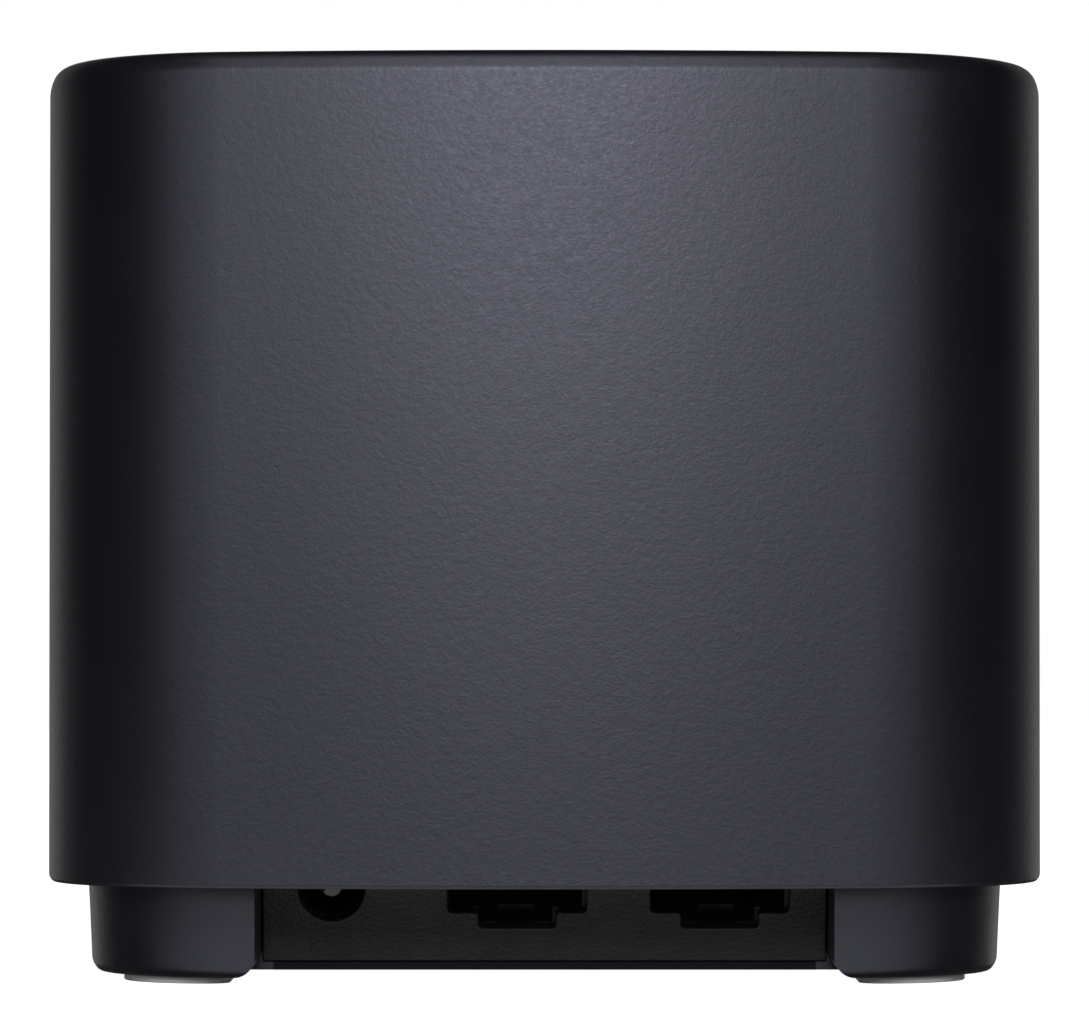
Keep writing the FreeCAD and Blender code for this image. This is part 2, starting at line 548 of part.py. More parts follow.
def make_port_panel():
    body = new_body("panel_body")
    plate = new_sketch(body, "panel_plate", "XZ_Plane")
    draw_rectangle(plate, "-bay_half + panel_gap", "bay_half - panel_gap", "panel_low", "panel_high")
    extrude(body, "Pad", plate, "panel_thick")
    for port, place in PORTS:
        for part, half, low, high in (("cutout", "cutout_half", "cutout_low", "cutout_high"),
                                      ("notch", "notch_half", "notch_low", "cutout_low + 1")):
            opening = new_sketch(body, "%s_%s" % (port, part), "XZ_Plane")
            draw_rectangle(opening, "%s - %s" % (place, half), "%s + %s" % (place, half), low, high)
            extrude(body, "Pocket", opening, "4 * panel_thick", midplane=True)
    hole = new_sketch(body, "power_opening", "XZ_Plane")
    draw_circle(hole, "power_place", "0", "power_hole")
    extrude(body, "Pocket", hole, "4 * panel_thick", midplane=True)

    def opening_corner(edge):
        first, last = edge.Vertexes[0], edge.Vertexes[-1]
        return (math.hypot(first.X - last.X, first.Z - last.Z) < 1e-4 and abs(first.Y - last.Y) > 0.1
                and abs(first.X) < size("bay_half - 1") and first.Z < size("cutout_high") + 0.1
                and first.Z > size("panel_low") + 0.1 and len(edge.Vertexes) == 2 and abs(first.Z) > 0.1)
    round_edges(body, "panel_corner_round", "panel_corner", opening_corner)
    round_edges(body, "panel_edge_round", "panel_round",
                lambda edge: all(abs(spot.Y) < 1e-4 for spot in edge.Vertexes))
    subpart(tilted(body), "port_panel")


def make_network_jacks():
    """Eight-contact sockets with the latch down. They hang from the tilted board above them."""
    for port, place in PORTS:
        middle = "%s + jack_shift" % place
        centre_y = "jack_face - jack_length / 2"
        blank = block(port + "_blank", middle, centre_y, "jack_low", "2 * jack_half", "jack_length",
                      "jack_high - jack_low")
        reach = "jack_face + 1 - (socket_depth + 1) / 2"
        socket = block(port + "_socket", middle, reach, "socket_low", "2 * socket_half", "socket_depth + 1",
                       "socket_height")
        latch = block(port + "_latch", middle, reach, "latch_low", "2 * latch_half", "socket_depth + 1",
                      "socket_low - latch_low + 1")
        step = block(port + "_step", middle, "jack_face + 1 - (step_depth + 1) / 2", "step_low",
                     "2 * step_half",
                     "step_depth + 1", "latch_low - step_low + 1")
        groove = block(port + "_contact_groove", middle,
                       "jack_face - contact_front - groove_length / 2 + 0.4", CONTACT_ROOF + " - 1",
                       "groove_width", "groove_length", "contact_lift + contact_width + 1.2")
        tail_slot = block(port + "_tail_slot", middle, "jack_face - contact_back + contact_width / 2",
                          CONTACT_ROOF, "groove_width", "3 * contact_width", "jack_high - socket_low")
        housing = carve(port + "_housing", blank, socket, latch, step, groove, tail_slot)
        subpart(tilted(housing), "rj45_housing_" + port)


def make_network_contacts():
    """Eight sprung wires in each socket; each is a flat strip, a sloping tongue and a solder tail."""
    thick = size("contact_width")
    low = size(CONTACT_ROOF + " + contact_lift")
    front = size("jack_face - contact_front")
    back = size("jack_face - contact_back")
    reach = size("jack_face - contact_reach")
    drop = size(CONTACT_ROOF + " - contact_drop")
    slope = 1.4 * thick
    tongue = [(front, low + thick), (front, low + thick - slope), (reach, drop), (reach, drop + slope)]
    for port, place in PORTS:
        wires = []
        for number in range(8):
            left = size("%s + jack_shift + (%g) * contact_pitch - contact_width / 2" % (place, number - 3.5))
            outline = Part.makePolygon([Vector(left, y, z) for y, z in tongue + tongue[:1]])
            strip = Part.makeBox(thick, front - back, thick, Vector(left, back, low))
            tail = Part.makeBox(thick, thick, size("io_board_low") - low, Vector(left, back, low))
            wire = Part.Face(outline).extrude(Vector(thick, 0, 0)).fuse([strip, tail])
            wires.append(wire.removeSplitter())
        contacts = doc.addObject("Part::Feature", port + "_contacts")
        contacts.Shape = Part.makeCompound(wires)
        subpart(tilted(contacts), "rj45_contacts_" + port)


def make_power_jack():
    centre_y = "jack_face - jack_length / 2"
    blank = block("power_blank", "power_place", centre_y, "power_low", "2 * power_half", "jack_length",
                  "jack_high - power_low")
    bore = rod("power_bore_tool", "power_place", "jack_face + 1", "0", "power_bore", "power_depth + 1", "-Y")
    pin_seat = rod("power_pin_seat", "power_place", "jack_face", "0", "power_pin", "jack_length - 1", "-Y")
    leaf_room = block("power_leaf_room", "power_place", "jack_face - power_depth / 2", "power_bore - 0.7",
                      "leaf_width + 0.4", "power_depth", "1.6")
    subpart(tilted(carve("power_housing", blank, bore, pin_seat, leaf_room)), "power_jack_housing")
    length = "power_pin_length + jack_length - power_depth - 1"
    rear = "jack_face - jack_length + 1"
    pin = rod("power_pin_rod", "power_place", rear, "0", "power_pin", length, "Y")
    tip = size(rear) + size(length)
    rounded_pin = rounded("power_pin_rounded", pin, "power_pin_round",
                          lambda edge: all(abs(spot.Y - tip) < 1e-4 for spot in edge.Vertexes))
    subpart(tilted(group("power_pin_group", rounded_pin)), "power_jack_pin")
    strip = block("power_leaf_strip", "power_place", "jack_face - power_depth / 2 - 0.6", "power_bore + 0.55",
                  "leaf_width", "power_depth - 1.6", "leaf_thick")
    hump = block("power_leaf_hump", "power_place", "jack_face - 4", "power_bore + 0.15", "leaf_width", "1.4",
                 "0.65")
    subpart(tilted(group("power_leaf_group", join("power_leaf", strip, hump))), "power_jack_spring")


def make_io_board():
    low = "io_board_low"
    rear = "-panel_thick - 0.15"
    middle = "(io_board_front %s) / 2" % rear
    board = block("io_board_blank", "0", middle, low, "2 * io_board_half", "%s - io_board_front" % rear,
                  "io_board_thick")
    holes = [rod("io_hole_%d" % side, "%d * io_post_x" % side, "io_screw_y", low, "board_hole",
                 "io_board_thick") for side in (-1, 1)]
    subpart(tilted(carve("io_board_cut", board, *holes)), "io_board")
    top = "io_board_low + io_board_thick"
    screws = []
    for side in (-1, 1):
        x = "%d * io_post_x" % side
        head = rod("io_head_%d" % side, x, "io_screw_y", top, "small_head", "small_head_height")
        shank = rod("io_shank_%d" % side, x, "io_screw_y", low, "small_screw", "io_board_thick")
        screws.append(join("io_screw_%d" % side, head, shank))
    subpart(tilted(group("io_screw_group", *screws)), "io_board_screws")
    cores = [block("transformer_%s" % port, place, "transformer_y", top, "transformer_length",
                   "transformer_width", "transformer_high") for port, place in PORTS]
    subpart(tilted(group("transformer_group", *cores)), "ethernet_transformers")
    connector = block("io_connector_block", "0", "connector_y", top, "connector_length", "connector_width",
                      "connector_high")
    subpart(tilted(group("io_connector_group", connector)), "flex_connector_io")


def make_flex_cable():
    """A flat cable from the tilted board up to the underside of the main board."""
    tilt = math.radians(size("panel_tilt"))
    level = size("board_level - flex_drop")
    bend = size("flex_bend")
    start_out = size("flex_start")
    start_up = size("io_board_low + io_board_thick + flex_lift")
    y = size("panel_plane") + start_out * math.cos(tilt) + start_up * math.sin(tilt)
    z = size("port_level") - start_out * math.sin(tilt) + start_up * math.cos(tilt)
    corner_y = y - (level - z) / math.tan(tilt)
    run = bend * math.tan(tilt / 2)
    first = Vector(0, y, z)
    before = Vector(0, corner_y + run * math.cos(tilt), level - run * math.sin(tilt))
    after = Vector(0, corner_y - run, level)
    centre = Vector(0, corner_y - run, level - bend)
    middle = centre + Vector(0, math.sin(tilt / 2), math.cos(tilt / 2)) * bend
    last = Vector(0, size("flex_mouth"), level)
    path = Part.Wire([Part.LineSegment(first, before).toShape(), Part.Arc(before, middle, after).toShape(),
                      Part.LineSegment(after, last).toShape()])
    across = Vector(0, math.sin(tilt), math.cos(tilt)) * size("flex_thick / 2")
    side = Vector(size("flex_half"), 0, 0)
    corners = [first - side - across, first + side - across, first + side + across, first - side + across]
    profile = Part.makePolygon(corners + corners[:1])
    cable = doc.addObject("Part::Feature", "flex_strip")
    cable.Shape = path.makePipeShell([profile], True, True)
    subpart(cable, "flex_cable")
    connector = block("main_connector_block", "0", "flex_mouth - connector_width / 2",
                      "board_level - main_connector_high", "connector_length", "connector_width",
                      "main_connector_high")
    subpart(connector, "flex_connector_main")


# ---------------------------------------------------------------- main board and what stands on it

BOARD_TOP = "board_level + board_thick"


def make_main_board():
    body = new_body("board_body")
    plan = new_sketch(body, "board_plan", "XY_Plane", "board_level")
    draw_rectangle(plan, "-board_half", "board_half", "-board_half", "board_half")
    extrude(body, "Pad", plan, "board_thick")
    round_edges(body, "board_corners", "board_corner", upright, "Chamfer")
    holes = new_sketch(body, "board_holes", "XY_Plane", BOARD_TOP)
    for side in (-1, 1):
        for end in (-1, 1):
            draw_circle(holes, "%d * post_x" % side, "%d * post_y" % end, "board_hole",
                        "hole_%d_%d_" % (side + 1, end + 1))
    draw_circle(holes, "-sink_pin_x", "sink_pin_rear", "sink_pin_radius + pin_clearance", "rear_pin_")
    draw_circle(holes, "sink_pin_x", "sink_pin_front", "sink_pin_radius + pin_clearance", "front_pin_")
    extrude(body, "Pocket", holes, "board_thick")
    subpart(body, "main_board")
    screws = []
    for side in (-1, 1):
        for end in (-1, 1):
            tag = "%d_%d" % (side + 1, end + 1)
            x = "%d * post_x" % side
            y = "%d * post_y" % end
            head = rod("board_head_" + tag, x, y, BOARD_TOP, "small_head", "small_head_height")
            shank = rod("board_shank_" + tag, x, y, BOARD_TOP + " - small_screw_length", "small_screw",
                        "small_screw_length")
            screws.append(join("board_screw_" + tag, head, shank))
    subpart(group("board_screw_group", *screws), "main_board_screws")


def make_processor_and_sink():
    chip = block("soc_block", "0", "soc_y", BOARD_TOP, "soc_size", "soc_size", "soc_high")
    subpart(chip, "processor_chip")
    pad = block("thermal_block", "0", "soc_y", BOARD_TOP + " + soc_high", "soc_size", "soc_size", "pad_high")
    subpart(pad, "thermal_pad")
    low = BOARD_TOP + " + soc_high + pad_high"
    plate = block("sink_plate", "0", "sink_y", low, "sink_length", "sink_width", "sink_base")
    pitch = "(sink_length - fin_thick) / (fin_count - 1)"
    middle = (SIZES["fin_count"] - 1) / 2
    fins = [block("sink_fin_%d" % number, "(%g) * %s" % (number - middle, pitch), "sink_y",
                  low + " + sink_base", "fin_thick", "sink_width", "fin_height")
            for number in range(SIZES["fin_count"])]
    places = (("-sink_pin_x", "sink_pin_rear"), ("sink_pin_x", "sink_pin_front"))
    rooms = [rod("sink_room_%d" % number, x, y, low, "sink_room", "sink_base + fin_height")
             for number, (x, y) in enumerate(places)]
    seats = [rod("sink_seat_%d" % number, x, y, low, "sink_seat", "sink_base")
             for number, (x, y) in enumerate(places)]
    holes = [rod("sink_hole_%d" % number, x, y, low, "sink_pin_radius + pin_clearance", "sink_base")
             for number, (x, y) in enumerate(places)]
    finned = carve("sink_finned", join("sink_blank", plate, *fins), *rooms)
    subpart(carve("sink_cut", join("sink_whole", finned, *seats), *holes), "heatsink")
    pins = []
    for number, (x, y) in enumerate(places):
        shank = rod("sink_pin_%d" % number, x, y, "board_level - pin_below", "sink_pin_radius",
                    "board_thick + pin_below + soc_high + pad_high + sink_base")
        head = rod("sink_pin_head_%d" % number, x, y, low + " + sink_base", "pin_head", "pin_head_high")
        barb = rod("sink_pin_barb_%d" % number, x, y, "board_level - pin_below", "pin_barb", "pin_barb_high")
        pins.append(join("push_pin_%d" % number, shank, head, barb))
    subpart(group("push_pin_group", *pins), "heatsink_push_pins")


def make_board_parts():
    memory = block("memory_block", "memory_x", "soc_y", BOARD_TOP, "memory_length", "memory_width",
                   "memory_high")
    subpart(memory, "memory_chip")
    flash = block("flash_block", "flash_x", "soc_y", BOARD_TOP, "flash_length", "flash_width", "flash_high")
    subpart(flash, "flash_chip")
    outer = block("shield_outer", "0", "shield_y", BOARD_TOP, "shield_length", "shield_width",
                  "shield_height")
    rooms = [block("shield_room_%d" % side, "%d * shield_length / 4" % side, "shield_y", BOARD_TOP,
                   "shield_length / 2 - 1.5 * shield_wall", "shield_width - 2 * shield_wall",
                   "shield_height - shield_wall") for side in (-1, 1)]
    subpart(carve("shield_cut", outer, *rooms), "radio_shield")
    radios = [block("radio_%d" % side, "%d * shield_length / 4" % side, "shield_y", BOARD_TOP,
                    "radio_size", "radio_size", "radio_high") for side in (-1, 1)]
    subpart(group("radio_group", *radios), "radio_chips")
    cans = [rod("capacitor_%d" % side, "%d * can_x" % side, "can_y", BOARD_TOP, "can_radius", "can_high")
            for side in (-1, 1)]
    subpart(group("capacitor_group", *cans), "power_capacitors")
    coils = []
    for side in (-1, 1):
        coil = block("coil_%d" % side, "%d * coil_x" % side, "coil_y", BOARD_TOP, "coil_size", "coil_size",
                     "coil_high")
        coils.append(rounded("coil_rounded_%d" % side, coil, "coil_corner", upright))
    subpart(group("coil_group", *coils), "power_inductors")
    led = block("led_block", "0", "light_y", BOARD_TOP, "led_length", "led_width", "led_high")
    subpart(led, "status_led")
    rise = block("pipe_rise", "0", "light_y", BOARD_TOP + " + 0.7", "light_block", "light_block",
                 "light_level + light_radius - board_level - board_thick - 0.7")
    run = rod("pipe_run", "0", "light_y", "light_level", "light_radius", "half_width + light_y", "-Y")
    subpart(join("pipe_whole", rise, run), "light_pipe")


# ---------------------------------------------------------------- keys under the body

def make_keys():
    board = block("key_board_blank", "0", "(key_board_front + key_board_rear) / 2", "key_board_level",
                  "2 * key_board_half", "key_board_rear - key_board_front", "key_board_thick")
    holes = [rod("key_board_hole_%d" % side, "%d * key_post_x" % side, "key_post_y", "key_board_level",
                 "board_hole", "key_board_thick") for side in (-1, 1)]
    subpart(carve("key_board_cut", board, *holes), "button_board")
    top = "key_board_level + key_board_thick"
    screws = []
    for side in (-1, 1):
        x = "%d * key_post_x" % side
        head = rod("key_head_%d" % side, x, "key_post_y", top, "small_head", "small_head_height")
        shank = rod("key_shank_%d" % side, x, "key_post_y", top + " - 4.4", "small_screw", "4.4")
        screws.append(join("key_screw_%d" % side, head, shank))
    subpart(group("key_screw_group", *screws), "button_board_screws")
    for key, x, side, high in (("pair", "pair_x", "pair_switch", "pair_switch_high"),
                               ("reset", "reset_x", "reset_switch", "reset_switch_high")):
        radius = key + "_plunger"
        low = "key_board_level - " + high
        case = block(key + "_switch_block", x, "key_y", low, side, side, high)
        well = rod(key + "_switch_well", x, "key_y", low, radius + " + plunger_gap", "plunger_room")
        subpart(carve(key + "_switch_cut", case, well), key + "_switch_body")
        start = key + "_plunger_low"
        length = "%s + plunger_inside - %s" % (low, start)
        subpart(rod(key + "_plunger_rod", x, "key_y", start, radius, length), key + "_switch_plunger")
    cap = rod("key_cap", "pair_x", "key_y", "key_bottom", "key_radius", "key_flange_low - key_bottom")
    flange = rod("key_flange_disc", "pair_x", "key_y", "key_flange_low", "key_flange",
                 "key_flange_high - key_flange_low")
    stem = rod("key_stem_rod", "pair_x", "key_y", "key_flange_high", "key_stem", "key_top - key_flange_high")
    whole = join("key_whole", cap, flange, stem)
    subpart(rounded("key_rounded", whole, "key_round", at_level("key_bottom")), "pair_button")


# ---------------------------------------------------------------- antennas

def cable_route(points):
    """Straight runs joined by tangent arcs, each arc as large as its two runs allow."""
    edges = []
    start = points[0]
    for before, corner, after in zip(points, points[1:], points[2:]):
        back = (before - corner).normalize()
        ahead = (after - corner).normalize()
        half_turn = (math.pi - back.getAngle(ahead)) / 2
        run = 0.45 * min(before.distanceToPoint(corner), after.distanceToPoint(corner))
        radius = run / math.tan(half_turn)
        enter = corner + back * run
        leave = corner + ahead * run
        bisector = (back + ahead).normalize()
        middle = corner + bisector * (radius / math.cos(half_turn) - radius)
        edges.append(Part.LineSegment(start, enter).toShape())
        edges.append(Part.Arc(enter, middle, leave).toShape())
        start = leave
        print("antenna cable bend radius %.1f mm" % radius)
    edges.append(Part.LineSegment(start, points[-1]).toShape())
    return Part.Wire(edges)


def make_antennas():
    tray = block("tray_plate", "0", "0", "tray_level", "2 * tray_half", "2 * tray_half_width", "tray_thick")
    opening = block("tray_opening", "0", "0", "tray_level", "2 * tray_open", "2 * tray_open_width",
                    "tray_thick")
    legs = []
    rails = []
    for side in (-1, 1):
        for end in (-1, 1):
            legs.append(block("tray_leg_%d_%d" % (side + 1, end + 1), "%d * leg_x" % side, "%d * leg_y" % end,
                              BOARD_TOP, "leg_size", "leg_size", "tray_level - board_level - board_thick"))
            offset = "%d * antenna_x + %d * (antenna_thick / 2 + 0.1 + rail_thick / 2)" % (side, end)
            rails.append(block("tray_rail_%d_%d" % (side + 1, end + 1), offset, "0", "tray_level + tray_thick",
                               "rail_thick", "2 * antenna_half", "rail_height"))
    frame = carve("tray_frame", tray, opening)
    subpart(join("tray_whole", frame, *legs, *rails), "antenna_carrier")
    for side, hand in ((1, "left"), (-1, "right")):
        subpart(block("antenna_block_" + hand, "%d * antenna_x" % side, "0", "tray_level + tray_thick",
                      "antenna_thick", "2 * antenna_half", "antenna_high"), "antenna_board_" + hand)
        subpart(rod("plug_rod_" + hand, "%d * plug_x" % side, "plug_y", BOARD_TOP, "plug_radius", "plug_high"),
                "coax_plug_" + hand)
        feed = size("antenna_x - antenna_thick / 2 - cable_radius - 0.05")
        foot = Vector(size("plug_x"), size("plug_y"), size(BOARD_TOP + " + plug_high"))
        spots = [Vector(feed, 5, 68), Vector(feed - 0.5, 4, 61), Vector(29, 4.8, 54), Vector(27, 3.4, 45.5),
                 Vector(foot.x, foot.y, 37), foot]
        route = cable_route([Vector(side * spot.x, spot.y, spot.z) for spot in spots])
        ahead = Vector(side * (spots[1].x - spots[0].x), spots[1].y - spots[0].y, spots[1].z - spots[0].z)
        start = Vector(side * spots[0].x, spots[0].y, spots[0].z)
        section = Part.Wire(Part.Circle(start, ahead, size("cable_radius")).toShape())
        cable = doc.addObject("Part::Feature", "antenna_cable_solid_" + hand)
        cable.Shape = route.makePipeShell([section], True, True)
        subpart(cable, "antenna_cable_" + hand)


# ---------------------------------------------------------------- build, check and write

make_top_shell()
make_base_housing()
make_foot_pads()
make_casing_screws()
make_label()
make_port_panel()
make_network_jacks()
make_network_contacts()
make_power_jack()
make_io_board()
make_flex_cable()
make_main_board()
make_processor_and_sink()
make_board_parts()
make_keys()
make_antennas()
doc.recompute()

for item in doc.Objects:
    if "Invalid" in item.State or "Error" in item.State:
        raise RuntimeError("%s did not recompute" % item.Name)
for item in subparts:
    if item.Shape.isNull() or not item.Shape.isValid():
        raise RuntimeError("%s has no valid shape" % item.Label)

os.makedirs("parts", exist_ok=True)
for item in subparts:
    item.Shape.exportStep("parts/%s.step" % item.Label)
print("wrote %d sub-parts" % len(subparts))
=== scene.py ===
"""The looks of the mesh wifi node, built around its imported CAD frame. All lengths are in metres."""

import json
import math

import bmesh
import bpy
from mathutils import Matrix, Vector


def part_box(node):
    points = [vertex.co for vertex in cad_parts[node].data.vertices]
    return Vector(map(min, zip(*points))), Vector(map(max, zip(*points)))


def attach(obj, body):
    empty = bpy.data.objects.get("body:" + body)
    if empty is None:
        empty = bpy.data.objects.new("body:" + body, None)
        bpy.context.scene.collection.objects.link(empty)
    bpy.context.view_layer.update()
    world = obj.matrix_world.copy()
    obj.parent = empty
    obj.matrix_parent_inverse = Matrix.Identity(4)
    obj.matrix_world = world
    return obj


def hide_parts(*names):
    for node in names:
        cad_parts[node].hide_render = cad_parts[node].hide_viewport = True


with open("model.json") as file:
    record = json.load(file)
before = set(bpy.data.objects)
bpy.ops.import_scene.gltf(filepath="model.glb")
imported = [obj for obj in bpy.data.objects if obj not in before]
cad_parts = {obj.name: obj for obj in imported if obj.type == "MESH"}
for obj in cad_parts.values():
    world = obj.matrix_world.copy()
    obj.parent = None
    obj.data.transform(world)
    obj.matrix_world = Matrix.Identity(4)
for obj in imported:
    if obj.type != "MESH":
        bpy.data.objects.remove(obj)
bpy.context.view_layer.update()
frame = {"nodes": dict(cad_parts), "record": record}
NODES = frame["nodes"]

MM = 0.001

# ------------------------------------------------------------ sizes of the cover

COVER_LOW, COVER_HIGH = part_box("top_shell")
HEIGHT = COVER_HIGH.z
COVER_BOTTOM = COVER_LOW.z
HALF = 45 * MM  # from the upright axis to the middle of a side
SIDE_RADIUS = 224 * MM
CORNER_RADIUS = 18 * MM
WALL = 2.2 * MM
TOP_ROUND = 1.9 * MM
LIP_ROUND = 0.35 * MM
INNER_ROUND = 1.2 * MM
PIPE_RADIUS = 1.2 * MM
WINDOW_RADIUS = 1.3 * MM

# How finely the cover's mesh is divided.
SIDE_STEPS = 30
CORNER_STEPS = 22
SMALL_ARC_STEPS = 5
TOP_ARC_STEPS = 10
SIDE_ROWS = 14
TOP_RINGS = 8
CEILING_RINGS = 6
MIDDLE_FACE = 0.6  # size of the face in the middle of the top, in ring widths
WINDOW_STEPS = 40

# How the shapes taken from the CAD are cleaned, rounded and shaded. Angles are in degrees.
MERGE_DISTANCE = 0.002 * MM
FLAT_ANGLE = 0.25
BEVEL_SEGMENTS = 3
BEVEL_ANGLE = 40
PIECE_SHARP_ANGLE = 35
COVER_SHARP_ANGLE = 40
PIECE_NORMAL_WEIGHT = 80
COVER_NORMAL_WEIGHT = 50


def plan_outline(inset):
    """Points of the casing's plan moved in by inset: four bowed sides and tangent corner arcs."""
    centre = SIDE_RADIUS - HALF
    side = SIDE_RADIUS - inset
    corner = CORNER_RADIUS - inset
    gap = side - corner
    place = (-centre + math.sqrt(2 * gap ** 2 - centre ** 2)) / 2
    turn = math.atan2(place, place + centre)
    points = []
    for quarter in range(4):
        facing = quarter * math.pi / 2
        for step in range(SIDE_STEPS):
            angle = facing - turn + 2 * turn * step / SIDE_STEPS
            points.append((side * math.cos(angle) - centre * math.cos(facing),
                           side * math.sin(angle) - centre * math.sin(facing)))
        diagonal = facing + math.pi / 4
        middle_x = place * math.sqrt(2) * math.cos(diagonal)
        middle_y = place * math.sqrt(2) * math.sin(diagonal)
        sweep = math.pi / 2 - 2 * turn
        for step in range(CORNER_STEPS):
            angle = facing + turn + sweep * step / CORNER_STEPS
            points.append((middle_x + corner * math.cos(angle),
                           middle_y + corner * math.sin(angle)))
    return points


# ------------------------------------------------------------ small helpers

def new_object(name, data):
    item = bpy.data.objects.new(name, data)
    bpy.context.scene.collection.objects.link(item)
    return item


def mesh_from(name, bm):
    mesh = bpy.data.meshes.new(name)
    bm.to_mesh(mesh)
    bm.free()
    return new_object(name, mesh)


def bridge_rings(bm, rings, close_first=False, close_last=False):
    """Joins rings of vertices with quads. Rings run the same way round and have equal counts."""
    for lower, upper in zip(rings, rings[1:]):
        count = len(lower)
        for i in range(count):
            j = (i + 1) % count
            bm.faces.new((lower[i], lower[j], upper[j], upper[i]))
    if close_first:
        bm.faces.new(list(reversed(rings[0])))
    if close_last:
        bm.faces.new(rings[-1])


def quarter_arc(radius, steps, start, end):
    """Points of an arc about the origin, from start to end in degrees."""
    angles = [math.radians(start + (end - start) * step / steps) for step in range(steps + 1)]
    return [(radius * math.cos(angle), radius * math.sin(angle)) for angle in angles]


def apply_modifiers(item):
    """Replaces the item's mesh with what its modifiers make of it."""
    bpy.context.view_layer.update()
    graph = bpy.context.evaluated_depsgraph_get()
    made = bpy.data.meshes.new_from_object(item.evaluated_get(graph),
                                           preserve_all_data_layers=True, depsgraph=graph)
    item.modifiers.clear()
    item.data = made


def smooth(item, sharp_angle):
    """Smooth shading that breaks at edges sharper than the given angle."""
    item.data.shade_smooth()
    bm = bmesh.new()
    bm.from_mesh(item.data)
    limit = math.radians(sharp_angle)
    for edge in bm.edges:
        if len(edge.link_faces) == 2:
            edge.smooth = edge.calc_face_angle(0) < limit
    bm.to_mesh(item.data)
    bm.free()


def weigh_normals(item, weight):
    """Keeps broad faces flat-looking beside their narrow rounded edges."""
    weigh = item.modifiers.new("normals", "WEIGHTED_NORMAL")
    weigh.keep_sharp = True
    weigh.weight = weight
    apply_modifiers(item)


def node_body(node):
    """The name of the body that a CAD node rides on."""
    for body, nodes in frame["record"]["behaviour"]["bodies"].items():
        if node in nodes:
            return body
    return "root"


# ------------------------------------------------------------ material building blocks

def new_material(name, color, roughness, metallic=0.0):
    """A Principled material, its node tree and its shader."""
    material = bpy.data.materials.new(name)
    material.use_nodes = True
    tree = material.node_tree
    shader = tree.nodes["Principled BSDF"]
    shader.inputs["Base Color"].default_value = (*color, 1)
    shader.inputs["Roughness"].default_value = roughness
    shader.inputs["Metallic"].default_value = metallic
    return material, tree, shader


def object_coordinates(tree):
    node = tree.nodes.new("ShaderNodeTexCoord")
    return node.outputs["Object"]


def noise_texture(tree, where, size, detail=2.0, rough=0.5):
    """Noise whose features are about size metres across."""
    node = tree.nodes.new("ShaderNodeTexNoise")
    node.inputs["Scale"].default_value = 1 / size
    node.inputs["Detail"].default_value = detail
    node.inputs["Roughness"].default_value = rough
    tree.links.new(where, node.inputs["Vector"])
    return node.outputs["Fac"]


def cell_texture(tree, where, size):
    """Rounded cells about size metres across."""
    node = tree.nodes.new("ShaderNodeTexVoronoi")
    node.inputs["Scale"].default_value = 1 / size
    tree.links.new(where, node.inputs["Vector"])
    return node.outputs["Distance"]


def to_range(tree, value, low, high):
    """Stretches a noise's usual spread, 0.3 to 0.7, to low and high."""
    node = tree.nodes.new("ShaderNodeMapRange")
    node.inputs["From Min"].default_value = 0.3
    node.inputs["From Max"].default_value = 0.7
    node.inputs["To Min"].default_value = low
    node.inputs["To Max"].default_value = high
    tree.links.new(value, node.inputs["Value"])
    return node.outputs["Result"]


def add_bump(tree, shader, height, depth, under=None):
    """Bumps the shader by height times depth, in metres, on top of another bump if one is given."""
    node = tree.nodes.new("ShaderNodeBump")
    node.inputs["Strength"].default_value = 1.0
    node.inputs["Distance"].default_value = depth
    tree.links.new(height, node.inputs["Height"])
    if under:
        tree.links.new(under, node.inputs["Normal"])
    tree.links.new(node.outputs["Normal"], shader.inputs["Normal"])
    return node.outputs["Normal"]


def mottle_color(tree, shader, where, size, dark, light):
    """Drifts the base colour between dark and light in soft patches of about size metres."""
    patches = noise_texture(tree, where, size, detail=3)
    mix = tree.nodes.new("ShaderNodeMix")
    mix.data_type = "RGBA"
    tree.links.new(to_range(tree, patches, 0, 1), mix.inputs["Factor"])
    mix.inputs["A"].default_value = (*dark, 1)
    mix.inputs["B"].default_value = (*light, 1)
    tree.links.new(mix.outputs["Result"], shader.inputs["Base Color"])


# ------------------------------------------------------------ materials

def satin_plastic(name, dark, light, roughness, grain, depth, specular=0.5, tint=(1, 1, 1)):
    """Moulded plastic with a fine spark-eroded grain, faint mottling and slightly uneven gloss."""
    gloss_spread = 0.04
    material, tree, shader = new_material(name, dark, roughness)
    where = object_coordinates(tree)
    mottle_color(tree, shader, where, 9 * MM, dark, light)
    gloss = noise_texture(tree, where, 1.4 * grain, detail=3, rough=0.6)
    uneven = to_range(tree, gloss, roughness - gloss_spread, roughness + gloss_spread)
    tree.links.new(uneven, shader.inputs["Roughness"])
    shader.inputs["Specular IOR Level"].default_value = specular
    shader.inputs["Specular Tint"].default_value = (*tint, 1)
    fine = noise_texture(tree, where, grain, detail=2.5, rough=0.6)
    coarse = noise_texture(tree, where, 2.6 * grain)
    under = add_bump(tree, shader, fine, depth)
    add_bump(tree, shader, coarse, depth, under)
    return material


def casing_plastic(name):
    """The satin black of the cover and the base, whose gloss is slightly blue."""
    return satin_plastic(name, dark=(0.0058, 0.0058, 0.0080), light=(0.0075, 0.0075, 0.0103),
                         roughness=0.39, grain=0.26 * MM, depth=0.014 * MM,
                         specular=0.62, tint=(0.80, 0.80, 1.0))


